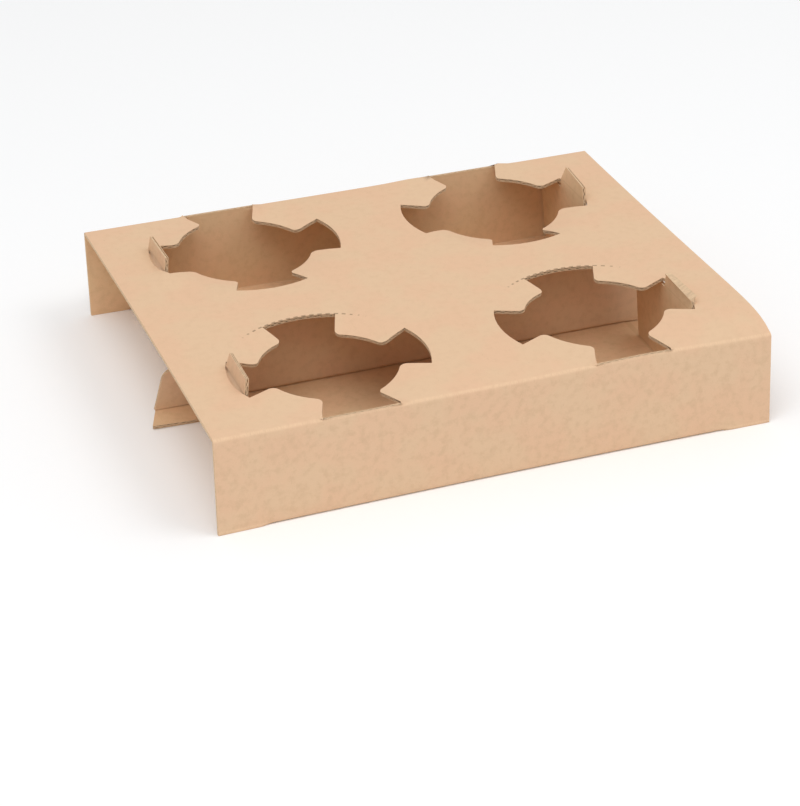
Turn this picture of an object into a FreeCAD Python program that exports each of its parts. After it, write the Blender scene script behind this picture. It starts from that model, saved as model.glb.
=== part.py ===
import FreeCAD, Part
import math
import os

from FreeCAD import Vector

# A four-cup carrier die-cut from one sheet of fluted board. The sheet wraps round into a low
# sleeve that is open at both ends: front wall, bowed top panel, back wall and a floor in two
# halves, glued where they overlap. The rear floor half ends in a partition that stands across
# the middle, and four flaps stand up from the floor inside the open ends, each with a lock tab.
#
# Lengths are in millimetres. X runs between the open ends, Y from the front wall to the back
# wall, Z up. The origin is at the middle of the base.

# Board and sleeve
board = 1.5
fold_radius = 0.8
width = 240.0
depth = 196.0
height = 41.0
bow_left = 1.0
bow_right = 4.0
fit_gap = 0.4

# Cup openings: petals that reach in from a root circle to a tip circle, with a gap between
# neighbours on each side. End gaps face the open ends and wall gaps face the walls.
cup_end_inset = 61.5
cup_wall_inset = 41.5
tip_radius = 30.0
root_radius = 42.4
end_gap_tip = 19.0
end_gap_root = 31.0
wall_gap_tip = 25.0
wall_gap_root = 32.0
petal_corner = 3.0

# End flaps and their lock tabs
flap_inset = 18.9
flap_lean_deg = 4.0
flap_side_gap = 0.9
tab_rise = 7.0
tab_base = 27.0
tab_tip = 23.0

# Partition, which is lower near the open ends, the glue lap behind it, and the floor tongues
partition_setback = 1.5
partition_inset = 2.2
partition_lean = 5.0
partition_step = 20.0
partition_step_run = 9.0
partition_rise_run = 14.0
partition_corner = 6.0
glue_lap = 16.0
tongue_front = 10.0
tongue_reach = 1.0
tongue_taper = 0.8
tongue_slant = 9.5

# Places worked out from the sizes above
front = -depth / 2
back = depth / 2
end = width / 2
half_board = board / 2
outer_radius = fold_radius + board
window = flap_inset + outer_radius
partition_y = partition_setback - half_board
slit_y = partition_y - tongue_front
lap_y = partition_y + glue_lap
partition_fold_top = 2 * board + outer_radius
cup_centres = [
    (side_x * (end - cup_end_inset), side_y * (back - cup_wall_inset))
    for side_x in (-1, 1)
    for side_y in (-1, 1)
]


def direction(start, finish):
    """Unit step from one (a, b) point to another."""
    step_a = finish[0] - start[0]
    step_b = finish[1] - start[1]
    length = math.hypot(step_a, step_b)
    return step_a / length, step_b / length


def moved(point, way, distance):
    """The point that lies a distance from another along a direction."""
    return point[0] + way[0] * distance, point[1] + way[1] * distance


def left_of(way):
    """The direction a quarter turn to the left."""
    return -way[1], way[0]


def fold(before, corner, after):
    """Points of one fold on the strip's left face and on its right face.

    A fold is three points of an arc on each face. A turn too slight to be a fold is one point.
    """
    way_in = direction(before, corner)
    way_out = direction(corner, after)
    turn = math.atan2(
        way_in[0] * way_out[1] - way_in[1] * way_out[0],
        way_in[0] * way_out[0] + way_in[1] * way_out[1],
    )
    bisector = direction((0, 0), moved(left_of(way_in), left_of(way_out), 1))
    slightest_fold = math.radians(5)
    if abs(turn) < slightest_fold:
        offset = half_board / math.cos(turn / 2)
        return [moved(corner, bisector, offset)], [moved(corner, bisector, -offset)]
    side = math.copysign(1, turn)
    middle_radius = fold_radius + half_board
    setback = middle_radius * math.tan(abs(turn) / 2)
    centre = moved(moved(corner, way_in, -setback), left_of(way_in), side * middle_radius)
    faces = []
    for face in (1, -1):
        radius = middle_radius - side * face * half_board
        spokes = (left_of(way_in), bisector, left_of(way_out))
        faces.append([moved(centre, spoke, -side * radius) for spoke in spokes])
    return faces


def face_edges(points, place, rises):
    """Edges along one face of a strip: lines, fold arcs and, where a run rises, a shallow arc."""
    edges = []
    for run, (group, following) in enumerate(zip(points, points[1:])):
        start, finish = group[-1], following[0]
        if rises.get(run):
            middle = ((start[0] + finish[0]) / 2, (start[1] + finish[1]) / 2)
            crown = moved(middle, left_of(direction(start, finish)), rises[run])
            edges.append(Part.Arc(place(start), place(crown), place(finish)).toShape())
        else:
            edges.append(Part.makeLine(place(start), place(finish)))
        if len(following) == 3:
            edges.append(Part.Arc(*[place(point) for point in following]).toShape())
    return edges


def strip_wire(path, place, rises=None):
    """Closed wire round a strip of board that is folded along a path of (a, b) points."""
    first_way = left_of(direction(path[0], path[1]))
    last_way = left_of(direction(path[-2], path[-1]))
    left = [[moved(path[0], first_way, half_board)]]
    right = [[moved(path[0], first_way, -half_board)]]
    for before, corner, after in zip(path, path[1:], path[2:]):
        left_points, right_points = fold(before, corner, after)
        left.append(left_points)
        right.append(right_points)
    left.append([moved(path[-1], last_way, half_board)])
    right.append([moved(path[-1], last_way, -half_board)])
    edges = face_edges(left, place, rises or {})
    edges.append(Part.makeLine(place(left[-1][0]), place(right[-1][0])))
    edges += face_edges(right, place, rises or {})
    edges.append(Part.makeLine(place(right[0][0]), place(left[0][0])))
    return Part.Wire(Part.__sortEdges__(edges))


def prism(points, place, along):
    """Solid between a flat polygon of (a, b) points and the same polygon moved along a vector."""
    corners = [place(point) for point in points]
    return Part.Face(Part.makePolygon(corners + corners[:1])).extrude(along)


def box(low, high):
    """Solid between two opposite corners."""
    size = [high[i] - low[i] for i in range(3)]
    return Part.makeBox(*size, Vector(*low))


def in_section(x):
    """Places (y, z) points in the plane across the sleeve at x."""
    return lambda point: Vector(x, point[0], point[1])


def in_elevation(y):
    """Places (x, z) points in the plane along the sleeve at y."""
    return lambda point: Vector(point[0], y, point[1])


def in_plan(z):
    """Places (x, y) points in the level plane at z."""
    return lambda point: Vector(point[0], point[1], z)


# Centre line of the sleeve's section. The rear floor half climbs by one board on to the lap.
lap_height = board + half_board
front_low = (front + half_board, half_board)
front_high = (front + half_board, height - half_board)
back_high = (back - half_board, height - half_board)
back_low = (back - half_board, half_board)
lap_top = (lap_y, lap_height)
climb_way = direction(back_low, lap_top)
climb_deg = math.degrees(math.atan2(climb_way[1], -climb_way[0]))
splice = moved(back_low, climb_way, (back_low[0] - lap_y) / 2)


def sleeve():
    """Front floor half, front wall, top panel, back wall and the first run of the rear floor."""
    path = [(lap_y, half_board), front_low, front_high, back_high, back_low, splice]
    top_run = 2
    wires = [
        strip_wire(path, in_section(x), {top_run: rise})
        for x, rise in ((-end, bow_left), (end, bow_right))
    ]
    return Part.makeLoft(wires, True, True)


def rear_floor():
    """Rest of the rear floor half, glued over the front half, with the partition's fold."""
    fold_corner = (partition_y + half_board, lap_height)
    path = [splice, lap_top, fold_corner, (fold_corner[0], partition_fold_top)]
    inner_end = end - window
    section = Part.Face(strip_wire(path, in_section(-inner_end)))
    return section.extrude(Vector(2 * inner_end, 0, 0))


def partition():
    """Panel across the middle, free of the floor beyond the flap folds, with stepped ends."""
    low = board + fit_gap
    high = height - board + min(bow_left, bow_right) - fit_gap
    foot = end - partition_inset
    step_end = foot - partition_lean
    step_root = step_end - partition_step_run
    full_end = step_root - partition_rise_run
    half = [(foot, low), (step_end, partition_step), (step_root, partition_step), (full_end, high)]
    outline = half + [(-x, z) for x, z in reversed(half)]
    panel = prism(outline, in_elevation(partition_y), Vector(0, board, 0))
    corners = [
        edge
        for edge in panel.Edges
        if abs(edge.Vertexes[0].Y - edge.Vertexes[-1].Y) > half_board
        and abs(edge.Vertexes[0].Z - partition_step) < board
    ]
    panel = panel.makeFillet(partition_corner, corners)
    inner_end = end - window
    fold_zone = box(
        (-inner_end, partition_y - board, 0),
        (inner_end, partition_y + 2 * board, partition_fold_top),
    )
    return panel.cut(fold_zone)


def end_windows():
    """Spaces cut out of the floor at the open ends, where the flaps came from."""
    cutters = []
    for side in (-1, 1):
        near, far = sorted((side * (end - window), side * (end + board)))
        cutters.append(box((near, front, -board), (far, back, outer_radius)))
    return cutters


def wall_feet():
    """The walls' own lower edges beside the floor windows, cut square at the base."""
    feet = []
    for side in (-1, 1):
        near, far = sorted((side * (end - window), side * end))
        feet.append(box((near, front, 0), (far, front + board, outer_radius)))
        feet.append(box((near, back - board, 0), (far, back, outer_radius)))
    return feet


def tongues():
    """Strips of the front floor half that reach out between the flaps at the open ends."""
    shapes = []
    for side in (-1, 1):
        root = side * (end - window)
        tip = side * (end + tongue_reach)
        heel = side * (end + tongue_reach - tongue_slant)
        outline = [(root, slit_y), (tip, slit_y + tongue_taper), (heel, lap_y), (root, lap_y)]
        shapes.append(prism(outline, in_plan(0), Vector(0, 0, board)))
    return shapes


def flap(side, low_y, high_y, tab_y, slope_deg):
    """One end flap with its fold, leaning panel and lock tab, for one open end.

    It is shaped on a level floor, then tilted about the back wall's fold by its floor's slope, so
    its shoulder and its tab's tip are first lowered by what that floor has risen there.
    """
    lean = math.tan(math.radians(flap_lean_deg))
    slope = math.tan(math.radians(slope_deg))
    centre_x = end - flap_inset - half_board
    shoulder = height - board - fit_gap - (back_low[0] - low_y) * slope
    tip_z = height + tab_rise - (back_low[0] - tab_y) * slope
    path = [
        (side * (end - window - outer_radius), half_board),
        (side * centre_x, half_board),
        (side * (centre_x - tip_z * lean), tip_z),
    ]
    section = Part.Face(strip_wire(path, in_elevation(low_y)))
    folded = section.extrude(Vector(0, high_y - low_y, 0))
    outline = [
        (low_y, -board),
        (high_y, -board),
        (high_y, shoulder),
        (tab_y + tab_base / 2, shoulder),
        (tab_y + tab_tip / 2, tip_z),
        (tab_y - tab_tip / 2, tip_z),
        (tab_y - tab_base / 2, shoulder),
        (low_y, shoulder),
    ]
    silhouette = prism(outline, in_section(-end), Vector(width, 0, 0))
    shape = folded.common(silhouette)
    shape.rotate(Vector(0, *back_low), Vector(1, 0, 0), -slope_deg)
    return shape


def flaps():
    """Four end flaps. The rear pair stands on the climbing floor half."""
    wall_gap = board + flap_side_gap
    front_cup = front + cup_wall_inset
    back_cup = back - cup_wall_inset
    rear_low = partition_y + board + fit_gap
    shapes = []
    for side in (-1, 1):
        shapes.append(flap(side, front + wall_gap, slit_y, front_cup, 0))
        shapes.append(flap(side, rear_low, back - wall_gap, back_cup, climb_deg))
    return shapes


def half_angle(gap_width, radius):
    """Half the angle that a petal gap takes up at a radius from the cup's centre."""
    return math.asin(gap_width / 2 / radius)


def cup_opening(centre):
    """Cutter for one cup opening: the space inside the petal tips and between the petals."""
    lower = height / 2
    upper = height + max(bow_left, bow_right) + board

    def place(radius, angle):
        across, along = radius * math.cos(angle), radius * math.sin(angle)
        return Vector(centre[0] + across, centre[1] + along, lower)

    gaps = [(end_gap_tip, end_gap_root), (wall_gap_tip, wall_gap_root)] * 2
    edges = []
    tip_corners = []
    for quarter, (tip_width, root_width) in enumerate(gaps):
        angle = quarter * math.pi / 2
        half_root = half_angle(root_width, root_radius)
        half_tip = half_angle(tip_width, tip_radius)
        next_width = gaps[(quarter + 1) % len(gaps)][0]
        petal_start = angle + half_tip
        petal_finish = angle + math.pi / 2 - half_angle(next_width, tip_radius)
        root_in = place(root_radius, angle - half_root)
        root_out = place(root_radius, angle + half_root)
        tip_in = place(tip_radius, angle - half_tip)
        tip_out = place(tip_radius, petal_start)
        petal_crown = place(tip_radius, (petal_start + petal_finish) / 2)
        edges.append(Part.makeLine(tip_in, root_in))
        edges.append(Part.Arc(root_in, place(root_radius, angle), root_out).toShape())
        edges.append(Part.makeLine(root_out, tip_out))
        edges.append(Part.Arc(tip_out, petal_crown, place(tip_radius, petal_finish)).toShape())
        tip_corners += [tip_in, tip_out]
    cutter = Part.Face(Part.Wire(edges)).extrude(Vector(0, 0, upper - lower))
    rounded = [
        edge
        for edge in cutter.Edges
        if abs(edge.Vertexes[0].Z - edge.Vertexes[-1].Z) > board
        and any(math.dist(edge.Vertexes[0].Point[:2], corner[:2]) < 1e-6 for corner in tip_corners)
    ]
    cutter = cutter.makeFillet(petal_corner, rounded)
    between_walls = box((-end, front + board, lower), (end, back - board, upper))
    return cutter.common(between_walls)


def cup_carrier():
    """The whole folded and glued sheet as one solid."""
    shell = sleeve().cut(end_windows())
    for centre in cup_centres:
        shell = shell.cut(cup_opening(centre))
    pieces = [rear_floor(), partition()] + wall_feet() + tongues() + flaps()
    return shell.fuse(pieces).removeSplitter()


os.makedirs("parts", exist_ok=True)
carrier = cup_carrier()
solids = carrier.Solids
bounds = carrier.BoundBox
print("solids", len(solids), "valid", carrier.isValid(), "volume", round(carrier.Volume))
print("size", round(bounds.XLength, 2), round(bounds.YLength, 2), round(bounds.ZLength, 2))
solids[0].exportStep("parts/cup_carrier.step")
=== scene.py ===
import math

import bpy
import numpy as np
from mathutils import Matrix, Vector, geometry


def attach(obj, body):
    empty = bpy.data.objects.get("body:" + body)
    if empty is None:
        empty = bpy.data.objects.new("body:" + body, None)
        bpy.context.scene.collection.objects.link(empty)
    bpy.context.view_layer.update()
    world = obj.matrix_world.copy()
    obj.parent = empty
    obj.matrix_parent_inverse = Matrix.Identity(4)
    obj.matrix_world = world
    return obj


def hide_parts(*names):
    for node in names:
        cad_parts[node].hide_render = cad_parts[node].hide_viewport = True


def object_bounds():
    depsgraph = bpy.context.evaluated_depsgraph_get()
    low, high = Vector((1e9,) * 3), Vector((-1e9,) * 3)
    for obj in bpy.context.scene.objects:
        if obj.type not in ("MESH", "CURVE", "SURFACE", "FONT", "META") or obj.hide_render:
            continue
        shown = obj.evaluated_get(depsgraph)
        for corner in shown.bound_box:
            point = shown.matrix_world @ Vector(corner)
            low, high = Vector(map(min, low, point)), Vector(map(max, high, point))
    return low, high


# The carrier is drawn as what it is: one flat die-cut blank of fluted board, mapped on to its
# folded shape. Places on the blank are (u, v) in millimetres. u runs along the sleeve, as X does,
# and v along the folded section, from the glued edge of the front floor half round to the top of
# the partition. Two liners and the fluted paper between them are cut from the same outline. Sizes
# are in millimetres up to folded(), which gives metres.
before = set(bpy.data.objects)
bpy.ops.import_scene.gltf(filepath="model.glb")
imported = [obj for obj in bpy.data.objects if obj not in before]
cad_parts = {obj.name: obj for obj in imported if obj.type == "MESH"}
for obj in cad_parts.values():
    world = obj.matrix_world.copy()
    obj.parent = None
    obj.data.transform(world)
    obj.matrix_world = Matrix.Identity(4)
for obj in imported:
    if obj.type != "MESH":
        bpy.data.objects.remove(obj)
cad_low, cad_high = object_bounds()
METRE = 0.001

# Board: two liners and the fluted medium between them
BOARD = 1.5
LINER = 0.3
MEDIUM = 0.42
FLUTE_PITCH = 3.2
# How far the flutes' crests stay short of the liners, as a share of the medium's thickness
CREST_ROOM = 0.08
# How far in from the sleeve's ends the knife has pressed the flutes shut
SHUT_LENGTH = 0.9
# The radius inside a fold, and the width of a cut
FOLD_RADIUS = 0.35
KNIFE = 0.3
HALF = BOARD / 2
MIDDLE_RADIUS = FOLD_RADIUS + HALF

# Sleeve: its length and depth come from the frame, and the floor tongues reach past its ends
TONGUE_REACH = 1.0
END = cad_high.x / METRE - TONGUE_REACH
BACK = cad_high.y / METRE
HEIGHT = 41.0
# The room between the flaps' or the partition's edges and the board above or below them
GAP = 0.4
# The top panel bows evenly at the left end and swells near the front wall at the right end
BOW = 1.3
SWELL = 5.1
# The swell starts within this share of the panel's depth, and falls off as this power of the way
# to the back wall and to the left end
SWELL_START = 0.05
SWELL_FADE = 1.5
# How far from a wall the rises of its top fold fade out
FOLD_FADE = 12.0
# How far back the back wall stands at the left end, the middle and the right end
SKEW = (3.0, 1.2, 0.5)
# How far the front wall's foot stands forward: in the middle, what changes evenly from there to
# the right end, and what is added towards both ends
FOOT_OUT = (1.9, -0.95, 1.35)
# How far the front wall's foot stands out to the left at its left end
FOOT_ASIDE = 1.0
# How far the back wall's foot stands forward: at the ends, and how much more in the middle
FOOT_IN = (1.2, 1.0)
# How much higher the front wall's top fold stands in the middle than at its ends
FRONT_RISE = 0.45
# Where the walls' top folds stand higher still: place along X, half width and how far
FRONT_SWELLS = ((65, 32, 1.1),)
BACK_SWELLS = ((76.5, 3.5, 1.0), (34, 10, 0.5))

# Cup openings: how far their centres lie from the sleeve's ends and from the walls
CUP_FROM_END = 61.5
CUP_FROM_WALL = 41.5
CUP_X = END - CUP_FROM_END
CUP_Y = BACK - CUP_FROM_WALL
# The circles through the petals' tips and through their roots
TIP_RADIUS = 29.1
ROOT_RADIUS = 41.9
# How wide the gaps between petals are at those two circles, towards the ends and the walls
END_GAP = (21.6, 32.4)
WALL_GAP = (23.2, 32.0)
# How far into the walls' folds the openings are cut
WALL_CUT = 0.25
PETAL_CORNER = 3.0
# How far each petal's two tip corners are bent up, petals anticlockwise from +X, by the cup's side
PETAL_BENDS = {
    (-1, -1): ((-2.5, -2.8), (-1.8, -1.2), (0.4, -0.1), (-1.4, -0.5)),
    (-1, 1): ((-1.8, -1.0), (0.8, 1.1), (-1.8, -2.2), (-1.9, -1.9)),
    (1, 1): ((-0.1, 0.0), (-0.2, -0.6), (-2.6, -3.2), (-2.7, -2.0)),
    (1, -1): ((-0.6, -0.8), (-1.6, -0.1), (0.0, -1.1), (0.0, 0.0)),
}
# The bend changes from the first corner's to the second's over this part of the petal's quarter
# turn, and grows from root to tip as this power of the way
BEND_START_DEG = 22
BEND_SPAN_DEG = 45
BEND_EASE = 1.3
# Where a tab pushes the top panel up: X, Y and how far
LIFTS = ((-97.2, 40.3, 1.75), (-97.2, -72.7, 0.6))
LIFT_WIDTH = 6.5

# Perforation cuts, drawn as painted shade: their pitch, the radius that they lie at, and how far
# off it they fade out
MARK_PITCH = 3.4
MARK_RADIUS = ROOT_RADIUS + 0.3
MARK_WIDTH = (0.25, 0.6)
# The uncut share of each pitch, beside a wall gap and from this distance past it
MARK_UNCUT = (0.4, 0.85)
MARK_CHANGE = 13
# Where the marks fade out: past a wall gap, and across the panel, - towards its middle line
MARK_FADE_ALONG = (4, 14)
MARK_FADE_ACROSS = (-30, -20)

# End flaps and their lock tabs: how far in the flaps stand, their lean and the room beside them
FLAP_INSET = 18.9
FLAP_LEAN = math.radians(4)
FLAP_SIDE_GAP = 2.4
# The front right flap reaches up under the swell of the top panel
SHOULDER_RISE = 1.8
TAB_TOP = cad_high.z / METRE
TAB_BASE = 27.0
TAB_TIP = 23.0
# Above a crease each tab is bent: how far its tip moves towards +X at the back and at the front
TAB_CREASE = 41.0
TAB_BENDS = {(-1, -1): (1.2, 0.6), (-1, 1): (0.4, 0.6), (1, 1): (2.9, 0.7), (1, -1): (0.2, 1.8)}
# The front right tab's tip is crushed and splayed, and its inner side driven down at the front
SPLAY = 0.8
SPLAY_LENGTH = 1.5
CRUSH_DEPTH = 2.6
CRUSH_LENGTH = 6.0

# Partition. From its foot, a little inside the sleeve's end, its edge leans in to a step, runs
# along it and slopes on up to the top, with both corners rounded
PARTITION_Y = 1.5
PARTITION_FOOT = 2.2
PARTITION_LEAN = 5.0
PARTITION_STEP = 20.0
PARTITION_STEP_RUN = 9.0
PARTITION_RISE_RUN = 14.0
PARTITION_CORNER = 6.0
# How far the top panel has bowed up where the partition meets it
PARTITION_BOW = 1.0

# Glue lap, and floor tongues: how far they reach in front of the partition and taper there, how
# much shorter they are at the partition and at the glued edge, and how far the left one curls up
# and slides out
GLUE_LAP = 16.0
TONGUE_FRONT = 12.8
TONGUE_TAPER = 0.8
TONGUE_SLANT = 4.5
TONGUE_BACK = 14.0
TONGUE_LIFT = 0.4
TONGUE_SLIDE = 1.1

# How finely the blank is divided
ARC_STEP_DEG = 6
FOLD_STEPS = 8
GRID = 5.0
FLUTE_STEP = 0.44
FLUTE_ROW = 12.0
LIFT_ROWS = (-8, -4, 0, 4, 8)
# Points in a strip's table for each millimetre
TABLE_DENSITY = 50
# How near a grid point may come to an edge, as a share of the grid
EDGE_ROOM = 0.45
# How near a row of the flutes may come to a place where the outline crosses a column
ROW_ROOM = 0.05
# Points nearer than this are one point, and triangles with a smaller cross product are left out
MERGE = 1e-4
SLIVER = 1e-6
# Places on the flutes' outline are rounded to this many decimals
DECIMALS = 3

# Papers: their tones as 0 to 255 on screen
OUTER_TONE = (224, 191, 157)
INNER_TONE = (226, 192, 152)
CUT_TONE = (226, 195, 160)
FLUTING_TONE = (204, 172, 138)
# Shares of a liner's red, green and blue in its pale, pink and dark patches
PALE = (1.1, 1.1, 1.1)
PINK = (1.02, 0.965, 0.97)
DARK = (0.84, 0.8, 0.76)
# The same for the painted shade in the perforation cuts, of the dark patches' tone, and for dark
# patches of cut paper
PERFORATION_SHADE = (0.5, 0.5, 0.5)
CUT_DARK = (0.8, 0.8, 0.8)
# How wide the change of finish is, to each side of a wall's top fold and at a cut
WALL_BLEND = 2
CUT_BLEND = 0.1


class Strip:
    """Board folded along a path of points in a plane, unrolled to straight runs and folds."""

    def __init__(self, path):
        steps = np.diff(np.array(path), axis=0)
        headings = np.unwrap(np.arctan2(steps[:, 1], steps[:, 0]))
        turns = np.abs(np.diff(headings))
        setbacks = np.concatenate([[0], MIDDLE_RADIUS * np.tan(turns / 2), [0]])
        straights = np.hypot(*steps.T) - setbacks[:-1] - setbacks[1:]
        self.starts = []
        self.ends = []
        self.headings = headings
        reached = 0.0
        for straight, turn in zip(straights, np.append(turns, 0)):
            self.starts.append(reached)
            self.ends.append(reached + straight)
            reached += straight + MIDDLE_RADIUS * turn
        # A table of places along the strip, added up from short steps along its heading
        stations = np.ravel(list(zip(self.starts, self.ends)))
        self.table = np.linspace(0, stations[-1], int(stations[-1] * TABLE_DENSITY) + 2)
        middles = (self.table[1:] + self.table[:-1]) / 2
        heading = np.interp(middles, stations, np.repeat(headings, 2))
        step = self.table[1] - self.table[0]
        self.first = path[0][0] + np.concatenate([[0], np.cumsum(np.cos(heading) * step)])
        self.second = path[0][1] + np.concatenate([[0], np.cumsum(np.sin(heading) * step)])

    def place(self, length):
        """Where places a length along the strip lie in its plane."""
        first = np.interp(length, self.table, self.first)
        second = np.interp(length, self.table, self.second)
        return first, second

    def straight_on(self, run, length):
        """Where places a length along the strip would lie if one of its runs went straight on."""
        first, second = self.place(self.starts[run])
        way = self.headings[run]
        beyond = length - self.starts[run]
        return first + np.cos(way) * beyond, second + np.sin(way) * beyond

    def at_first(self, run, value):
        """The length at which a run reaches a value of the plane's first coordinate."""
        to_go = value - self.place(self.starts[run])[0]
        return self.starts[run] + to_go / math.cos(self.headings[run])

    def at_second(self, run, value):
        """The length at which a run reaches a value of the plane's second coordinate."""
        to_go = value - self.place(self.starts[run])[1]
        return self.starts[run] + to_go / math.sin(self.headings[run])


# Runs of the section, in order
FRONT_FLOOR, FRONT_WALL, TOP, BACK_WALL, REAR_FLOOR, LAP, PARTITION = range(7)
lap_y = PARTITION_Y - HALF + GLUE_LAP
lap_height = BOARD + HALF
partition_top = HEIGHT - BOARD + PARTITION_BOW - GAP
wall_middle = BACK - HALF
section = Strip([
    (lap_y, HALF),
    (-wall_middle, HALF),
    (-wall_middle, HEIGHT - HALF),
    (wall_middle, HEIGHT - HALF),
    (wall_middle, HALF),
    (lap_y, lap_height),
    (PARTITION_Y, lap_height),
    (PARTITION_Y, partition_top),
])
climb = math.atan2(lap_height - HALF, wall_middle - lap_y)

# The flap's own strip, from the middle of the floor out to the fold and up
flap_x = END - FLAP_INSET - HALF
flap_strip = Strip([
    (0, 0),
    (flap_x, 0),
    (flap_x - TAB_TOP * math.tan(FLAP_LEAN), TAB_TOP),
])
flap_root = flap_strip.ends[0]

# Places on the blank
slit_y = PARTITION_Y - HALF - TONGUE_FRONT
slit_v = section.at_first(FRONT_FLOOR, slit_y)
front_flap = (slit_v + KNIFE, section.at_first(FRONT_FLOOR, FLAP_SIDE_GAP - BACK))
front_foot = section.at_second(FRONT_WALL, 0)
back_foot = section.at_second(BACK_WALL, 0)
partition_foot = section.at_second(PARTITION, BOARD + GAP)
rear_flap = (section.at_first(REAR_FLOOR, BACK - FLAP_SIDE_GAP), section.ends[LAP] - KNIFE)
top_middle = (section.starts[TOP] + section.ends[TOP]) / 2
wall_cut = section.ends[TOP] - top_middle + WALL_CUT
front_tab = section.at_first(FRONT_FLOOR, -CUP_Y)
rear_tab = section.at_first(REAR_FLOOR, CUP_Y)
tab_end = flap_strip.at_second(1, TAB_TOP - HALF)
# The flutes' pitch, made to fit a whole number of times between the tips of the tabs
flute_pitch = 2 * tab_end / round(2 * tab_end / FLUTE_PITCH)
# The middles of the cuts on both sides of a flap
front_cuts = (slit_v + KNIFE / 2, (front_flap[1] + front_foot) / 2)
rear_cuts = ((rear_flap[0] + back_foot) / 2, (rear_flap[1] + partition_foot) / 2)


def half_angle(gap_width, radius):
    """Half the angle that a petal gap takes up at a radius from the cup's centre."""
    return math.asin(gap_width / 2 / radius)


# Half a wall gap's width where its straight flanks meet the wall's cut edge
tip_reach = TIP_RADIUS * math.cos(half_angle(WALL_GAP[0], TIP_RADIUS))
root_reach = ROOT_RADIUS * math.cos(half_angle(WALL_GAP[1], ROOT_RADIUS))
flank_slope = (WALL_GAP[1] - WALL_GAP[0]) / 2 / (root_reach - tip_reach)
gap_root = WALL_GAP[1] / 2 + flank_slope * (wall_cut - CUP_Y - root_reach)


def smooth(share):
    """A share from 0 to 1, eased at both ends."""
    share = np.clip(share, 0, 1)
    return share * share * (3 - 2 * share)


def flap_length(z, floor_rise):
    """The place across a flap's blank at which it reaches a height, less what its floor rises."""
    return flap_strip.at_second(1, z - HALF - floor_rise)


def risen(y):
    """How far the rear floor half has risen at a place in Y."""
    return (wall_middle - y) * math.tan(climb)


def swell_at(u, centre, width, rise):
    """A soft local rise."""
    return rise * np.exp(-((u - centre) / width) ** 2)


def swells(u, places):
    """The soft rises at some places along the sleeve, added up."""
    return sum(swell_at(u, *place) for place in places)


def bow(u, v):
    """How far the top panel rises above the walls."""
    share = np.clip((v - section.starts[TOP]) / (section.ends[TOP] - section.starts[TOP]), 0, 1)
    even = BOW * np.sin(np.pi * share)
    swell = SWELL * (1 - np.exp(-share / SWELL_START)) * (1 - share) ** SWELL_FADE
    right = np.clip((u + END) / (2 * END), 0, 1) ** SWELL_FADE
    return even * (1 - right) + swell * right


def petal_bend(u, v):
    """How far up the petals are bent from their root circle."""
    lift = np.zeros(len(u))
    for (side_x, side_y), petals in PETAL_BENDS.items():
        across = u - side_x * CUP_X
        along = v - top_middle - side_y * CUP_Y
        lever = (ROOT_RADIUS - np.hypot(across, along)) / (ROOT_RADIUS - TIP_RADIUS)
        lever = np.clip(lever, 0, 1) ** BEND_EASE
        angle = np.degrees(np.arctan2(along, across)) % 360
        for quarter, (first, second) in enumerate(petals):
            beyond = angle - 90 * quarter
            share = np.clip((beyond - BEND_START_DEG) / BEND_SPAN_DEG, 0, 1)
            own = (beyond >= 0) & (beyond < 90)
            lift += np.where(own, lever * (first + (second - first) * share), 0)
    return lift


def lifted(u, v):
    """How far the tabs push the top panel up."""
    rise = np.zeros(len(u))
    for x, y, height in LIFTS:
        rise += swell_at(np.hypot(u - x, v - top_middle - y), 0, LIFT_WIDTH, height)
    return rise


def tab_bend(u, v, up):
    """How far towards +X a tab is bent, for places at a height on a flap."""
    lever = np.maximum(up - TAB_CREASE, 0) / (TAB_TOP - TAB_CREASE)
    shift = np.zeros(len(u))
    for (side_x, side_y), bends in TAB_BENDS.items():
        tab_v = front_tab if side_y < 0 else rear_tab
        own = (side_x * u > 0) & (np.abs(v - tab_v) < TAB_BASE)
        across = (v - tab_v) / TAB_TIP
        shift += np.where(own, np.interp(across, (-0.5, 0.5), bends), 0)
    return shift * lever


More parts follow.
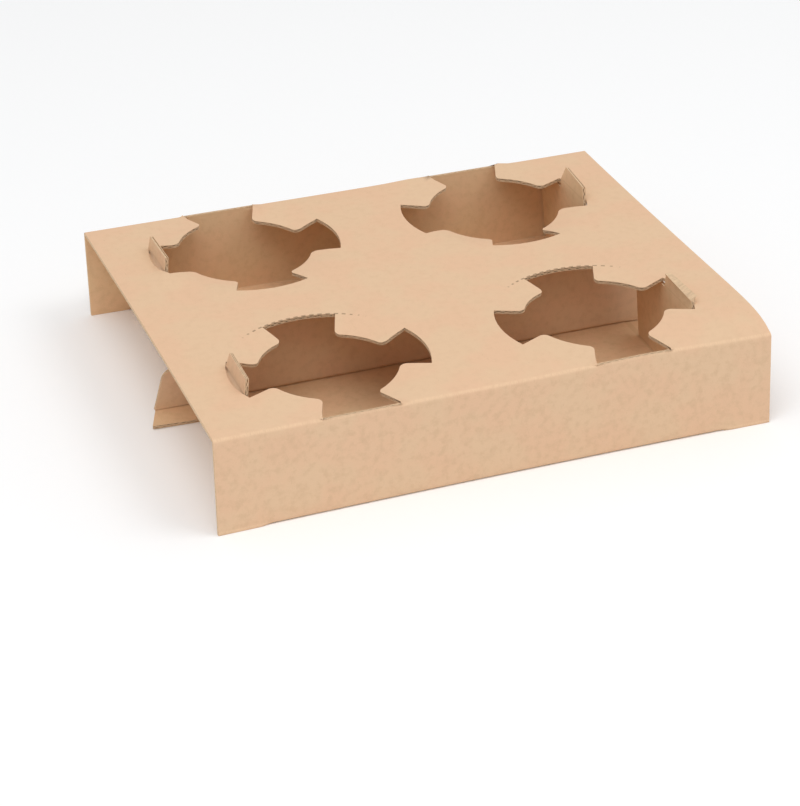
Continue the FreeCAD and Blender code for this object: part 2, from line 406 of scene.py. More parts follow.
def middle(u, v):
    """Where the middle of the board's thickness lies when folded, for places on the blank."""
    side = np.sign(u)
    reach = np.abs(u)
    x = u.copy()
    y, z = section.place(v)
    z = z + bow(u, v) + petal_bend(u, v) + lifted(u, v)

    # Beyond the flaps' folds, and in the gaps between petals, the walls and the partition go
    # straight on to their own cut edges
    beyond_flaps = smooth((reach - flap_root) / KNIFE)
    in_gap = smooth((gap_root + KNIFE - np.abs(reach - CUP_X)) / KNIFE)
    straight_parts = (
        (FRONT_WALL, front_cuts[1], section.starts[FRONT_WALL], beyond_flaps),
        (BACK_WALL, section.ends[BACK_WALL], rear_cuts[0], beyond_flaps),
        (PARTITION, rear_cuts[1], section.starts[PARTITION], beyond_flaps),
        (FRONT_WALL, section.ends[FRONT_WALL], section.starts[TOP], in_gap),
        (BACK_WALL, section.ends[TOP], section.starts[BACK_WALL], in_gap),
    )
    for run, start, finish, share in straight_parts:
        part = np.where((v > start) & (v < finish), share, 0)
        edge_y, edge_z = section.straight_on(run, v)
        y = y + (edge_y - y) * part
        z = z + (edge_z - z) * part

    # The flaps
    across, up = flap_strip.place(reach)
    for (start, finish), tilt in ((front_cuts, 0.0), (rear_cuts, climb)):
        part = (reach > flap_root) & (v > start) & (v < finish)
        x = np.where(part, side * across + tab_bend(u, v, up), x)
        y = np.where(part, y + up * math.sin(tilt), y)
        z = np.where(part, z + up * math.cos(tilt), z)

    # The left tongue, which curls up a little
    on_tongue = (v < front_cuts[0]) & (u < -flap_root)
    tongue = np.where(on_tongue, (reach - flap_root) / (END - flap_root), 0)
    x = x - TONGUE_SLIDE * tongue
    z = z + TONGUE_LIFT * tongue ** 2

    # The walls' top folds, which stand a little higher in places
    height = np.clip(z / HEIGHT, 0, 1)
    front_rise = FRONT_RISE * (1 - (u / END) ** 2) + swells(u, FRONT_SWELLS)
    back_rise = swells(u, BACK_SWELLS)
    z = z + front_rise * smooth((FOLD_FADE - BACK - y) / FOLD_FADE) * height
    z = z + back_rise * smooth((FOLD_FADE - BACK + y) / FOLD_FADE) * height * (1 - in_gap)

    # The walls' feet, which have moved, and the back wall, which stands askew
    low = np.clip(1 - z / HEIGHT, 0, 1)
    front_low = np.clip(-y / BACK, 0, 1) * low
    front_out = FOOT_OUT[0] + FOOT_OUT[1] * u / END + FOOT_OUT[2] * (u / END) ** 2
    x = x - FOOT_ASIDE * np.clip(-u / END, 0, 1) * front_low
    y = y - front_out * front_low
    back_in = FOOT_IN[0] + FOOT_IN[1] * (1 - (u / END) ** 2)
    y = y - back_in * np.clip(y / BACK, 0, 1) * low
    y = y + np.interp(u, (-END, 0, END), SKEW) * np.maximum(y, 0) / BACK
    return np.stack([x, y, z], axis=-1)


def on_front_right(u, v):
    """Which places lie on the right half of the front floor or on its flap."""
    return (u > 0) & (v > front_cuts[0]) & (v < front_cuts[1])


def crushed(u, v):
    """How crushed the board is: 1 at the front right tab's tip, 0 elsewhere."""
    return np.where(on_front_right(u, v), smooth(1 + (u - tab_end) / SPLAY_LENGTH), 0)


def pressed_shut(u, v):
    """How far the knife has pressed the flutes shut, at the open ends of the walls and the top."""
    sleeve = (v > front_foot) & (v < back_foot)
    return np.where(sleeve, smooth(1 + (np.abs(u) - END) / SHUT_LENGTH), 0)


def driven_down(u, v, depth):
    """How far the front right tab is pushed down: most on its inner side, at its tip's front."""
    near_tip = np.clip(1 + (u - tab_end) / CRUSH_LENGTH, 0, 1)
    near_front = np.clip(0.5 + (v - front_tab) / TAB_TIP, 0, 1)
    inner = np.clip((HALF - depth) / BOARD, 0, 1)
    return np.where(on_front_right(u, v), CRUSH_DEPTH * near_tip * near_front * inner, 0)


def folded(places, depth):
    """Where places on the blank at a depth, + outwards, from the board's middle lie, in metres."""
    u, v = places[:, 0], places[:, 1]
    step = 0.01
    along_u = middle(u + step, v) - middle(u - step, v)
    along_v = middle(u, v + step) - middle(u, v - step)
    normal = np.cross(along_u, along_v)
    normal /= np.linalg.norm(normal, axis=1)[:, None]
    splay = 1 + SPLAY * crushed(u, v)
    points = middle(u, v) + normal * (depth * splay)[:, None]
    points[:, 2] -= driven_down(u, v, depth)
    return points * METRE


def arc(centre, radius, start, finish):
    """Points along an arc, both ends included."""
    count = max(2, int(abs(math.degrees(finish - start)) / ARC_STEP_DEG) + 2)
    angles = np.linspace(start, finish, count)
    return [(centre[0] + radius * math.cos(a), centre[1] + radius * math.sin(a)) for a in angles]


def rounded(before, corner, after, radius):
    """Points of the arc that rounds a corner."""
    before, corner, after = (Vector(point) for point in (before, corner, after))
    way_in = (corner - before).normalized()
    way_out = (after - corner).normalized()
    turn = way_in.angle_signed(way_out) * -1
    setback = radius * math.tan(abs(turn) / 2)
    side = math.copysign(1, turn)
    centre = corner - way_in * setback + Vector((-way_in.y, way_in.x)) * side * radius
    start = math.atan2(*(corner - way_in * setback - centre).yx)
    return arc(centre, radius, start, start + turn)


def flap_outline(cuts, tab_v, floor_rises, shoulder_rise):
    """Right-hand outline of a flap from its first cut to its second, with its lock tab."""
    shoulder = flap_length(HEIGHT - BOARD - GAP + shoulder_rise, floor_rises[0])
    tip = flap_length(TAB_TOP, floor_rises[1])
    return [
        (flap_root, cuts[0]),
        (shoulder, cuts[0]),
        (shoulder, tab_v - TAB_BASE / 2),
        (tip, tab_v - TAB_TIP / 2),
        (tip, tab_v + TAB_TIP / 2),
        (shoulder, tab_v + TAB_BASE / 2),
        (shoulder, cuts[1]),
        (flap_root, cuts[1]),
    ]


def half_outline(shoulder_rise):
    """The right half of the blank's outer edge, from the glued edge to the top of the partition."""
    tongue_tip = END + TONGUE_REACH
    foot = END - PARTITION_FOOT
    step_v = section.at_second(PARTITION, PARTITION_STEP)
    step_end = (foot - PARTITION_LEAN, step_v)
    step_root = (foot - PARTITION_LEAN - PARTITION_STEP_RUN, step_v)
    full_end = (step_root[0] - PARTITION_RISE_RUN, section.ends[PARTITION])
    foot_end = (foot, partition_foot)
    half = [
        (tongue_tip - TONGUE_BACK, 0),
        (tongue_tip - TONGUE_SLANT, section.at_first(FRONT_FLOOR, PARTITION_Y)),
        (tongue_tip, section.at_first(FRONT_FLOOR, slit_y + TONGUE_TAPER)),
        (flap_root, slit_v),
    ]
    half += flap_outline(front_flap, front_tab, (0, 0), shoulder_rise)
    half += [(flap_root, front_foot), (END, front_foot), (END, back_foot), (flap_root, back_foot)]
    half += flap_outline(rear_flap, rear_tab, (risen(PARTITION_Y), risen(CUP_Y)), 0)
    half += [(flap_root, partition_foot), foot_end]
    half += rounded(foot_end, step_end, step_root, PARTITION_CORNER)
    half += rounded(step_end, step_root, full_end, PARTITION_CORNER)
    half.append(full_end)
    return half


def blank_outline():
    """The blank's outer edge, anticlockwise from the right end of the glued edge."""
    return half_outline(SHOULDER_RISE) + [(-u, v) for u, v in reversed(half_outline(0))]


def flank_corner(angle, side, widths):
    """Where a gap's flank, on one side of its middle angle, is rounded into the petal's tip.

    Gives the centre of the round and the angles at which it leaves the tip circle and the flank.
    """
    tip_width, root_width = widths
    tip_angle = angle + side * half_angle(tip_width, TIP_RADIUS)
    root_angle = angle + side * half_angle(root_width, ROOT_RADIUS)
    tip = Vector((math.cos(tip_angle), math.sin(tip_angle))) * TIP_RADIUS
    root = Vector((math.cos(root_angle), math.sin(root_angle))) * ROOT_RADIUS
    way = (root - tip).normalized()
    into_petal = Vector((-way.y, way.x)) * side
    base = tip + into_petal * PETAL_CORNER
    reach = TIP_RADIUS + PETAL_CORNER
    along = -base.dot(way) + math.sqrt(base.dot(way) ** 2 - base.length_squared + reach ** 2)
    centre = base + way * along
    off_tip = math.atan2(-centre.y, -centre.x)
    off_flank = math.atan2(-into_petal.y, -into_petal.x)
    turn = (off_flank - off_tip + math.pi) % (2 * math.pi) - math.pi
    return centre, off_tip, off_tip + turn


def cup_outline(side_x, side_y):
    """The edge of one cup opening on the blank, cut off where the top panel's folds begin."""
    points = []
    for quarter in range(4):
        widths = WALL_GAP if quarter % 2 else END_GAP
        next_widths = END_GAP if quarter % 2 else WALL_GAP
        angle = quarter * math.pi / 2
        half_root = half_angle(widths[1], ROOT_RADIUS)
        faces_wall = 2 - quarter == side_y
        if faces_wall:
            # The flanks of a gap beside a wall go straight on to the wall's cut edge
            points += [(side_y * gap_root, side_y * BACK), (-side_y * gap_root, side_y * BACK)]
        else:
            points += arc((0, 0), ROOT_RADIUS, angle - half_root, angle + half_root)
        centre, off_tip, off_flank = flank_corner(angle, 1, widths)
        points += arc(centre, PETAL_CORNER, off_flank, off_tip)
        next_angle = angle + math.pi / 2
        next_centre, next_off_tip, next_off_flank = flank_corner(next_angle, -1, next_widths)
        start = math.atan2(centre.y, centre.x) % (2 * math.pi)
        finish = math.atan2(next_centre.y, next_centre.x) % (2 * math.pi)
        points += arc((0, 0), TIP_RADIUS, start, finish)[1:-1]
        points += arc(next_centre, PETAL_CORNER, next_off_tip, next_off_flank)
    outline = []
    for x, y in points:
        v = top_middle + np.clip(side_y * CUP_Y + y, -wall_cut, wall_cut)
        outline.append((side_x * CUP_X + x, v))
    return outline


def fold_lines():
    """Lines across the blank at each step of each fold, as pairs of end points."""
    lines = []
    tongue_tip = END + TONGUE_REACH
    for run in range(len(section.starts) - 1):
        for v in np.linspace(section.ends[run], section.starts[run + 1], FOLD_STEPS + 1):
            lines.append(((-tongue_tip, v), (tongue_tip, v)))
    creases = list(np.linspace(flap_strip.ends[0], flap_strip.starts[1], FOLD_STEPS + 1))
    creases.append(flap_strip.at_second(1, TAB_CREASE))
    creases.append(tab_end - SPLAY_LENGTH)
    for side in (-1, 1):
        for low, high in (front_flap, rear_flap):
            for reach in creases:
                lines.append(((side * reach, low), (side * reach, high)))
    return lines


def inside(points, loops):
    """Which points lie inside an odd number of the loops."""
    odd = np.zeros(len(points), bool)
    for loop in loops:
        corners = np.array(loop)
        for (u0, v0), (u1, v1) in zip(corners, np.roll(corners, -1, axis=0)):
            if v0 == v1:
                continue
            spans = (v0 > points[:, 1]) != (v1 > points[:, 1])
            crossing = u0 + (points[:, 1] - v0) * (u1 - u0) / (v1 - v0)
            odd ^= spans & (points[:, 0] < crossing)
    return odd


def clear_of(points, edges, room):
    """Which points lie at least a distance from every edge."""
    clear = np.ones(len(points), bool)
    tiny = 1e-9
    for start, finish in edges:
        start, finish = np.array(start), np.array(finish)
        way = finish - start
        share = np.clip((points - start) @ way / max(way @ way, tiny), 0, 1)
        nearest = start + share[:, None] * way
        clear &= np.hypot(*(points - nearest).T) > room
    return clear


def spaced(start, finish, step):
    """Points along a line, both ends included, no further apart than a step."""
    count = max(1, math.ceil(math.dist(start, finish) / step))
    return [tuple(point) for point in np.linspace(start, finish, count + 1)]


def blank_triangles(loops):
    """Points and triangles that fill the blank, with edges along its folds."""
    edges = []
    for loop in loops:
        edges += list(zip(loop, loop[1:] + loop[:1]))
    edges += fold_lines()
    points = []
    links = []
    for start, finish in edges:
        chain = spaced(start, finish, GRID)
        links += [(len(points) + i, len(points) + i + 1) for i in range(len(chain) - 1)]
        points += chain
    low, high = np.min(loops[0], axis=0), np.max(loops[0], axis=0)
    row_step = GRID * math.sqrt(3) / 2
    rows = np.arange(low[1] + row_step / 2, high[1], row_step)
    grid = []
    for index, v in enumerate(rows):
        for u in np.arange(low[0] + GRID * (index % 2) / 2, high[0], GRID):
            grid.append((u, v))
    grid = np.array(grid)
    grid = grid[inside(grid, loops)]
    grid = grid[clear_of(grid, edges, GRID * EDGE_ROOM)]
    points += [tuple(point) for point in grid]
    found = geometry.delaunay_2d_cdt([Vector(p) for p in points], links, [], 0, MERGE, False)
    places = np.array([tuple(p) for p in found[0]])
    triangles = np.array([face for face in found[2] if len(face) == 3])
    centroids = places[triangles].mean(axis=1)
    triangles = triangles[inside(centroids, loops)]
    first, second, third = (places[triangles[:, i]] for i in range(3))
    area = np.cross(second - first, third - first)
    triangles = triangles[np.abs(area) > SLIVER]
    area = area[np.abs(area) > SLIVER]
    triangles[area < 0] = triangles[area < 0][:, ::-1]
    used, renumbered = np.unique(triangles, return_inverse=True)
    return places[used], renumbered.reshape(-1, 3)


def turning_places(corners):
    """Where along u the outline turns back, so that no column of the flutes spans such a place."""
    turning = []
    for loop in corners:
        before = np.sign(np.round(loop[:, 0] - np.roll(loop[:, 0], 1), DECIMALS + 1))
        after = np.sign(np.round(np.roll(loop[:, 0], -1) - loop[:, 0], DECIMALS + 1))
        turning += list(loop[before != after, 0])
    return turning


def flute_rows():
    """The places along v at which the flutes are divided: evenly, at the folds and at the lifts."""
    rows = set(np.arange(0, section.ends[PARTITION], FLUTE_ROW))
    for run in range(len(section.starts) - 1):
        rows |= set(np.linspace(section.ends[run], section.starts[run + 1], FOLD_STEPS // 2 + 1))
    for _, y, _ in LIFTS:
        rows |= {top_middle + y + offset for offset in LIFT_ROWS}
    return np.array(sorted(rows))


def crossings(segments, u):
    """Where the line across the blank at a place along u crosses the outline, in order."""
    low, high = segments[:, 0, 0], segments[:, 1, 0]
    hit = segments[(low > u) != (high > u)]
    share = (u - hit[:, 0, 0]) / (hit[:, 1, 0] - hit[:, 0, 0])
    return np.sort(np.round(hit[:, 0, 1] + share * (hit[:, 1, 1] - hit[:, 0, 1]), DECIMALS))


def flute_triangles(loops):
    """Points and triangles that fill the blank in columns narrow enough to follow the flutes."""
    corners = [np.round(loop, DECIMALS) for loop in loops]
    segments = np.concatenate([np.stack([c, np.roll(c, -1, axis=0)], axis=1) for c in corners])
    end = corners[0][:, 0].max()
    even = np.arange(-end, end, FLUTE_STEP)
    columns = np.concatenate([even, turning_places(corners), [end]])
    columns = np.unique(np.round(columns, DECIMALS))

    # Between two columns, each stretch of board is a strip with straight ends
    nudge = 1e-5
    strips = []
    stops = [set() for _ in columns]
    for index, (left, right) in enumerate(zip(columns, columns[1:])):
        left_v = crossings(segments, left + nudge)
        right_v = crossings(segments, right - nudge)
        for i in range(0, len(left_v), 2):
            strips.append((index, left_v[i:i + 2], right_v[i:i + 2]))
        stops[index] |= set(left_v)
        stops[index + 1] |= set(right_v)
    rows = flute_rows()
    levels = []
    for stop in stops:
        own = np.array(sorted(stop))
        kept = [row for row in rows if len(own) and np.abs(own - row).min() > ROW_ROOM]
        levels.append(np.array(sorted(set(own) | set(kept))))

    points = {}
    triangles = []

    def corner(index, v):
        """The number of the point at a place on a column, which is added if it is new."""
        return points.setdefault((index, round(float(v), DECIMALS)), len(points))

    for index, left_span, right_span in strips:
        left = [v for v in levels[index] if left_span[0] <= v <= left_span[1]]
        right = [v for v in levels[index + 1] if right_span[0] <= v <= right_span[1]]
        i, j = 0, 0
        while i < len(left) - 1 or j < len(right) - 1:
            base = [corner(index, left[i]), corner(index + 1, right[j])]
            left_next = i < len(left) - 1 and (j == len(right) - 1 or left[i + 1] <= right[j + 1])
            if left_next:
                i += 1
                triangles.append(base + [corner(index, left[i])])
            else:
                j += 1
                triangles.append(base + [corner(index + 1, right[j])])
    places = np.array([(columns[index], v) for index, v in points])
    return places, np.array(triangles)


def paper(name, places, triangles, outer, inner, materials):
    """A closed layer of paper that fills the blank between two depths, as one piece."""
    count = len(places)
    outer, inner = np.broadcast_to(outer, count), np.broadcast_to(inner, count)
    faces = np.concatenate([triangles, triangles[:, ::-1] + count])
    sides = np.concatenate([triangles[:, [0, 1]], triangles[:, [1, 2]], triangles[:, [2, 0]]])
    keys = np.sort(sides, axis=1)
    _, first, times = np.unique(keys, axis=0, return_index=True, return_counts=True)
    rim = sides[first[times == 1]]
    rim_faces = np.stack([rim[:, 1], rim[:, 0], rim[:, 0] + count, rim[:, 1] + count], axis=1)
    points = np.concatenate([folded(places, outer), folded(places, inner)])
    mesh = bpy.data.meshes.new(name)
    mesh.from_pydata(points.tolist(), [], faces.tolist() + rim_faces.tolist())
    mesh.update()
    blank = np.column_stack([np.concatenate([places, places]), np.concatenate([outer, inner])])
    attribute = mesh.attributes.new("blank", "FLOAT_VECTOR", "POINT")
    attribute.data.foreach_set("vector", blank.astype(np.float32).ravel())
    mesh.polygons.foreach_set("use_smooth", np.ones(len(mesh.polygons), bool))
    is_rim = np.arange(len(mesh.polygons)) >= len(faces)
    mesh.polygons.foreach_set("material_index", is_rim.astype(np.int32))
    mark_sharp_rims(mesh, len(faces))
    piece = bpy.data.objects.new(name, mesh)
    bpy.context.scene.collection.objects.link(piece)
    for material in materials:
        mesh.materials.append(material)
    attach(piece, "root")
    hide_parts("cup_carrier")


def mark_sharp_rims(mesh, rim_start):
    """Makes the edges between the paper's faces and its cut rim sharp, so each is shaded flat."""
    rim_edges = set()
    for polygon in mesh.polygons[rim_start:]:
        rim_edges.update(polygon.edge_keys)
    sharp = [edge.key in rim_edges for edge in mesh.edges]
    attribute = mesh.attributes.new("sharp_edge", "BOOLEAN", "EDGE")
    attribute.data.foreach_set("value", sharp)


class Paint:
    """A material's nodes, added one by one."""

    def __init__(self, name, roughness, specular):
        self.material = bpy.data.materials.new(name)
        self.material.use_nodes = True
        self.tree = self.material.node_tree
        self.shader = self.tree.nodes["Principled BSDF"]
        self.shader.inputs["Roughness"].default_value = roughness
        self.shader.inputs["Specular IOR Level"].default_value = specular

    def node(self, kind, output, inputs, **settings):
        """Adds a node and gives the output socket. Inputs are values or other nodes' sockets."""
        made = self.tree.nodes.new("ShaderNode" + kind)
        for key, value in settings.items():
            setattr(made, key, value)
        for key, value in inputs.items():
            if isinstance(value, bpy.types.NodeSocket):
                self.tree.links.new(value, made.inputs[key])
            else:
                made.inputs[key].default_value = value
        return made.outputs[output]

    def math(self, operation, first, second=0.0):
        """Arithmetic on one or two values."""
        return self.node("Math", 0, {0: first, 1: second}, operation=operation)

    def times(self, first, second):
        """Two values multiplied."""
        return self.math("MULTIPLY", first, second)

    def apart(self, first, second):
        """How far apart two values are."""
        return self.math("ABSOLUTE", self.math("SUBTRACT", first, second))

    def noise(self, place, scale, detail, roughness=0.5):
        """Soft noise from 0 to 1, with this many waves to the millimetre."""
        inputs = {"Vector": place, "Scale": scale, "Detail": detail, "Roughness": roughness}
        return self.node("TexNoise", "Fac", inputs)

    def stretched(self, place, scale):
        """A place with each of its directions scaled."""
        return self.node("VectorMath", 0, {0: place, 1: scale}, operation="MULTIPLY")

    def between(self, value, low, high, low_out=0.0, high_out=1.0):
        """Eases from one output to another as a value goes from low to high."""
        ends = {"From Min": low, "From Max": high, "To Min": low_out, "To Max": high_out}
        return self.node("MapRange", 0, {"Value": value, **ends}, interpolation_type="SMOOTHSTEP")

    def mix(self, share, first, second):
        """A colour between two colours."""
        inputs = {"Factor": share, 6: first, 7: second}
        return self.node("Mix", 2, inputs, data_type="RGBA")

    def bump(self, height, strength, distance):
        """Gives the surface a relief. The distance is in metres."""
        inputs = {"Height": height, "Strength": strength, "Distance": distance}
        self.link(self.node("Bump", "Normal", inputs), "Normal")

    def link(self, socket, name):
        """Links a socket to one of the shader's inputs."""
        self.tree.links.new(socket, self.shader.inputs[name])


def linear(red, green, blue):
    """A colour given as 0 to 255 on screen, as Blender's linear values."""
    values = [channel / 255 for channel in (red, green, blue)]
    return [v / 12.92 if v < 0.04045 else ((v + 0.055) / 1.055) ** 2.4 for v in values] + [1]


def tinted(tone, shares):
    """A tone with its red, green and blue scaled."""
    return [min(1, channel * share) for channel, share in zip(tone, shares)] + [1]


def perforation_shade(paint, across, along):
    """Painted shade of broken perforation cuts round the petals' root circles, in the top panel's
    front half.
    """
    centre_u = paint.math("SUBTRACT", paint.math("ABSOLUTE", across), CUP_X)
    centre_v = paint.math("SUBTRACT", paint.apart(along, top_middle), CUP_Y)
    squares = paint.math("ADD", paint.times(centre_u, centre_u), paint.times(centre_v, centre_v))
    off_circle = paint.apart(paint.math("SQRT", squares), MARK_RADIUS)
    on_circle = paint.between(off_circle, *MARK_WIDTH, 1, 0)
    angle = paint.math("ARCTAN2", centre_v, centre_u)
    pitches = paint.math("FRACT", paint.times(angle, ROOT_RADIUS / MARK_PITCH))
    past_gap = paint.math("SUBTRACT", paint.math("ABSOLUTE", centre_u), gap_root)
    uncut = paint.between(past_gap, 0, MARK_CHANGE, *MARK_UNCUT)
    dashes = paint.between(paint.math("SUBTRACT", pitches, uncut), 0, CUT_BLEND)
    near_middle = paint.between(centre_v, *MARK_FADE_ACROSS, 1, 0)
    beside_gap = paint.between(past_gap, *MARK_FADE_ALONG, 1, 0)
    front_half = paint.between(along, top_middle - 1, top_middle, 1, 0)
    part = paint.times(paint.times(near_middle, beside_gap), front_half)
    return paint.times(paint.times(on_circle, dashes), part)


def kraft(name, tone, highlight_share, shade_share):
    """Uncoated kraft liner: mottled, with fine fibres, flecks and faint washboard lines.

    tone is the main colour. Along its folds a painted highlight and painted shade are mixed in by
    the given shares; painted shade also lies along the tabs' creases and in the perforation cuts.
    """
    paint = Paint(name, roughness=0.86, specular=0.25)
    place = paint.node("Attribute", "Vector", {}, attribute_name="blank")
    across = paint.node("SeparateXYZ", "X", {0: place})
    along = paint.node("SeparateXYZ", "Y", {0: place})
    pale = tinted(tone, PALE)
    pink = tinted(tone, PINK)
    dark = tinted(tone, DARK)

    clouds = paint.noise(place, scale=0.045, detail=3)
    blotches = paint.noise(place, scale=0.3, detail=4, roughness=0.6)
    long_fibres = paint.stretched(place, (2.4, 0.8, 1))
    fibres = paint.noise(long_fibres, scale=1.0, detail=4, roughness=0.65)
    grain = paint.noise(place, scale=2.6, detail=3, roughness=0.7)
    flecks = paint.noise(paint.stretched(place, (1.5, 0.55, 1)), scale=1.0, detail=2)

    # The walls are more mottled than the top panel
    wall = paint.between(paint.apart(along, top_middle), BACK - WALL_BLEND, BACK + WALL_BLEND)
    blotchy = paint.times(paint.between(blotches, 0.42, 0.72), paint.between(wall, 0, 1, 0.2, 0.5))
    grainy = paint.times(paint.between(grain, 0.45, 0.75), paint.between(wall, 0, 1, 0.12, 0.3))
    colour = paint.mix(paint.between(clouds, 0.38, 0.62), tone, pink)
    colour = paint.mix(blotchy, colour, dark)
    colour = paint.mix(paint.times(paint.between(fibres, 0.5, 0.75), 0.3), colour, pale)
    colour = paint.mix(grainy, colour, dark)
    colour = paint.mix(paint.times(paint.between(flecks, 0.7, 0.76), 0.5), colour, dark)

    # Painted highlight along the outsides of the section's folds, and painted shade inside them,
    # along the flaps' folds and along the tabs' creases
    nearest = None
    for run in range(len(section.starts) - 1):
        away = paint.apart(along, (section.ends[run] + section.starts[run + 1]) / 2)
        nearest = away if nearest is None else paint.math("MINIMUM", nearest, away)
    painted_fold_highlight = paint.times(paint.between(nearest, 0.15, 0.65, 1, 0), paint.between(fibres, 0.35, 0.6))
    colour = paint.mix(paint.times(painted_fold_highlight, highlight_share), colour, pale)
    on_front_flap = paint.between(along, front_cuts[1], front_cuts[1] + CUT_BLEND, 1, 0)
    on_rear_flap = paint.between(along, rear_cuts[0], rear_cuts[0] + CUT_BLEND)
    on_flap = paint.math("ADD", on_front_flap, on_rear_flap)
    reach = paint.math("ABSOLUTE", across)
    off_flap_fold = paint.apart(reach, (flap_strip.ends[0] + flap_strip.starts[1]) / 2)
    # Painted shade inside the flaps' folds and the section's folds
    painted_crease_shade = paint.times(paint.between(off_flap_fold, 0.9, 1.6, 1, 0), on_flap)
    painted_crease_shade = paint.math("MAXIMUM", painted_crease_shade, paint.between(nearest, 0.3, 1.1, 0.4, 0))
    # Painted shade along the tabs' creases, on both liners
    off_tab_crease = paint.apart(reach, flap_strip.at_second(1, TAB_CREASE))
    painted_tab_crease_shade = paint.times(paint.between(off_tab_crease, 0.15, 0.5, 1, 0), on_flap)
    colour = paint.mix(paint.times(painted_tab_crease_shade, 0.5), colour, dark)
    colour = paint.mix(paint.times(painted_crease_shade, shade_share), colour, dark)

    # Painted shade in the perforation cuts
    slit_shade = perforation_shade(paint, across, along)
    colour = paint.mix(paint.times(slit_shade, 0.85), colour, tinted(dark, PERFORATION_SHADE))
    paint.link(colour, "Base Color")

    washboard = paint.math("SINE", paint.times(across, 2 * math.pi / flute_pitch))
    height = paint.math("ADD", paint.times(washboard, 0.07), paint.times(fibres, 0.9))
    height = paint.math("ADD", height, paint.times(grain, 0.5))
    paint.bump(height, strength=0.25, distance=0.00015)
    return paint.material


def fibrous(name, tone):
    """Torn and cut paper fibre: matte, uneven and a little darker in patches."""
    paint = Paint(name, roughness=0.95, specular=0.1)
    place = paint.node("Attribute", "Vector", {}, attribute_name="blank")
    patches = paint.noise(place, scale=0.9, detail=4, roughness=0.6)
    threads = paint.noise(paint.stretched(place, (4, 4, 8)), scale=1.0, detail=3, roughness=0.6)
    dark = tinted(tone, CUT_DARK)
    colour = paint.mix(paint.between(patches, 0.35, 0.7), tone, dark)
    colour = paint.mix(paint.times(paint.between(threads, 0.5, 0.8), 0.5), colour, dark)
    paint.link(colour, "Base Color")
    paint.bump(threads, strength=0.3, distance=0.0001)
    return paint.material


def carrier():
    """The whole folded sheet, as an outer liner, an inner liner and the flutes between them."""
    loops = [blank_outline()]
    for side_x in (-1, 1):
        for side_y in (-1, 1):
            loops.append(cup_outline(side_x, side_y))
    # The outer liner gets the painted fold highlight and the inner liner the painted crease shade
    outer_kraft = kraft("kraft_outer", linear(*OUTER_TONE), highlight_share=0.7, shade_share=0.0)
    inner_kraft = kraft("kraft_inner", linear(*INNER_TONE), highlight_share=0.0, shade_share=0.6)
    cut_edge = fibrous("kraft_cut_edge", linear(*CUT_TONE))
    fluting = fibrous("fluting_paper", linear(*FLUTING_TONE))
    places, triangles = blank_triangles(loops)
    paper("outer_liner", places, triangles, HALF, HALF - LINER, [outer_kraft, cut_edge])
    paper("inner_liner", places, triangles, LINER - HALF, -HALF, [inner_kraft, cut_edge])

    places, triangles = flute_triangles(loops)
    turn = 2 * np.pi * places[:, 0] / flute_pitch
    sway = HALF - LINER - MEDIUM / 2
    slope = sway * 2 * np.pi / flute_pitch * np.cos(turn)
    filled = np.maximum(crushed(*places.T), pressed_shut(*places.T))
    half_medium = MEDIUM / 2 * np.sqrt(1 + slope ** 2) * (1 - filled) + (HALF - LINER) * filled
    depth = (sway - MEDIUM * CREST_ROOM) * np.sin(turn) * (1 - filled)
    outer, inner = depth + half_medium, depth - half_medium
    paper("flutes", places, triangles, outer, inner, [fluting, cut_edge])


# Stage, in metres: a plain pale floor, soft light and the photograph's camera
CAMERA_PLACE = (-0.3737, -1.0325, 0.6011)
CAMERA_TURN_DEG = -19.497
CAMERA_TILT_DEG = 60.569
CAMERA_ROLL_DEG = -1.016
CAMERA_LENS = 128.62
# The floor lies just under the carrier, clear of its underside
FLOOR_Z = -0.0001
FLOOR_RADIUS = 3
FLOOR_CORNERS = 64
# What the lamps face, and how bright the dome is as light and as background
LAMP_AIM = Vector((0, 0, 0.02))
DOME_LIGHT = 0.6
DOME_WHITE = 1.0


def camera():
    """The camera at the photograph's viewing angle and framing."""
    data = bpy.data.cameras.new("camera")
    data.sensor_width = 36
    data.lens = CAMERA_LENS
    data.clip_start = 0.05
    data.clip_end = 50
    made = bpy.data.objects.new("camera", data)
    bpy.context.scene.collection.objects.link(made)
    turn = Matrix.Rotation(math.radians(CAMERA_TURN_DEG), 3, "Z")
    tilt = Matrix.Rotation(math.radians(CAMERA_TILT_DEG), 3, "X")
    roll = Matrix.Rotation(math.radians(CAMERA_ROLL_DEG), 3, "Z")
    made.rotation_mode = "QUATERNION"
    made.rotation_quaternion = (turn @ tilt @ roll).to_quaternion()
    made.location = CAMERA_PLACE
    bpy.context.scene.camera = made


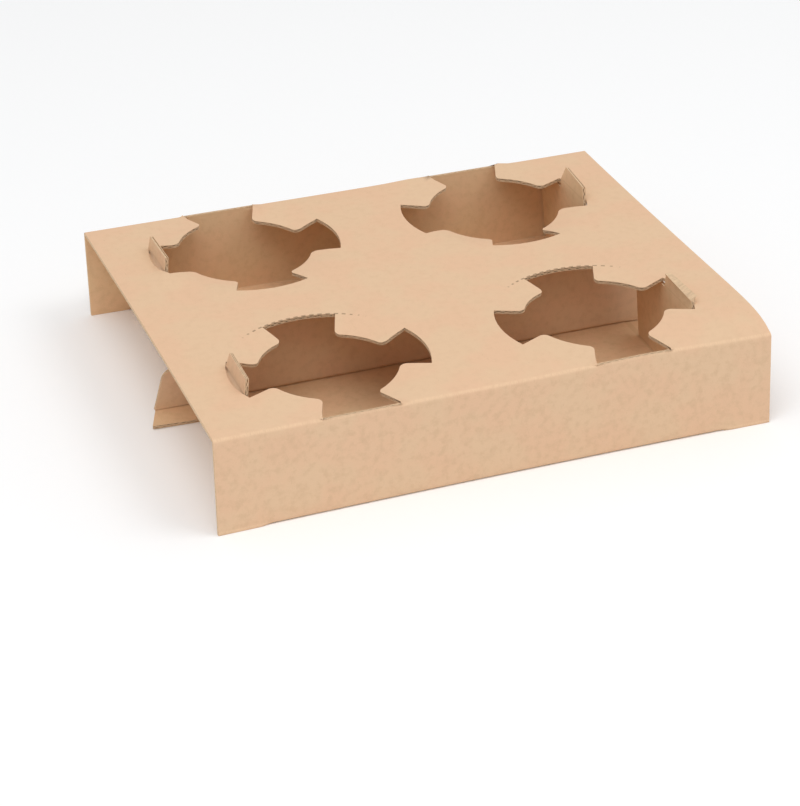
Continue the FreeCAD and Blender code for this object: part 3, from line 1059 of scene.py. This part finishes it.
def lamp(name, place, size, power):
    """A square soft box that faces the carrier."""
    data = bpy.data.lights.new(name, "AREA")
    data.size = size
    data.energy = power
    made = bpy.data.objects.new(name, data)
    bpy.context.scene.collection.objects.link(made)
    made.location = place
    made.rotation_mode = "QUATERNION"
    made.rotation_quaternion = (LAMP_AIM - Vector(place)).to_track_quat("-Z", "Y")


def floor():
    """A pale round floor, much wider than the view."""
    mesh = bpy.data.meshes.new("floor")
    angles = [i * 2 * math.pi / FLOOR_CORNERS for i in range(FLOOR_CORNERS)]
    rim = [(FLOOR_RADIUS * math.cos(a), FLOOR_RADIUS * math.sin(a), FLOOR_Z) for a in angles]
    mesh.from_pydata(rim, [], [list(range(FLOOR_CORNERS))])
    material = bpy.data.materials.new("pale_floor")
    material.use_nodes = True
    shader = material.node_tree.nodes["Principled BSDF"]
    shader.inputs["Base Color"].default_value = (0.98, 0.985, 0.99, 1)
    shader.inputs["Roughness"].default_value = 0.9
    shader.inputs["Specular IOR Level"].default_value = 0.1
    mesh.materials.append(material)
    made = bpy.data.objects.new("floor", mesh)
    bpy.context.scene.collection.objects.link(made)


def sky():
    """An even white dome, shown to the camera and in reflections as plain white."""
    world = bpy.data.worlds.new("dome")
    bpy.context.scene.world = world
    world.use_nodes = True
    nodes, links = world.node_tree.nodes, world.node_tree.links
    background = nodes["Background"]
    background.inputs["Color"].default_value = (1, 1, 1, 1)
    ray = nodes.new("ShaderNodeLightPath")
    seen = ray.outputs["Is Camera Ray"]
    for kind in ("Is Glossy Ray", "Is Transmission Ray"):
        either = nodes.new("ShaderNodeMath")
        either.operation = "MAXIMUM"
        links.new(seen, either.inputs[0])
        links.new(ray.outputs[kind], either.inputs[1])
        seen = either.outputs[0]
    strength = nodes.new("ShaderNodeMapRange")
    strength.inputs["To Min"].default_value = DOME_LIGHT
    strength.inputs["To Max"].default_value = DOME_WHITE
    links.new(seen, strength.inputs["Value"])
    links.new(strength.outputs[0], background.inputs["Strength"])


carrier()
camera()
floor()
sky()
lamp("key_light", place=(-0.6, -0.75, 2.0), size=1.5, power=18)
lamp("right_light", place=(1.0, -0.6, 1.8), size=1.0, power=8)
bpy.context.scene.view_settings.view_transform = "Standard"
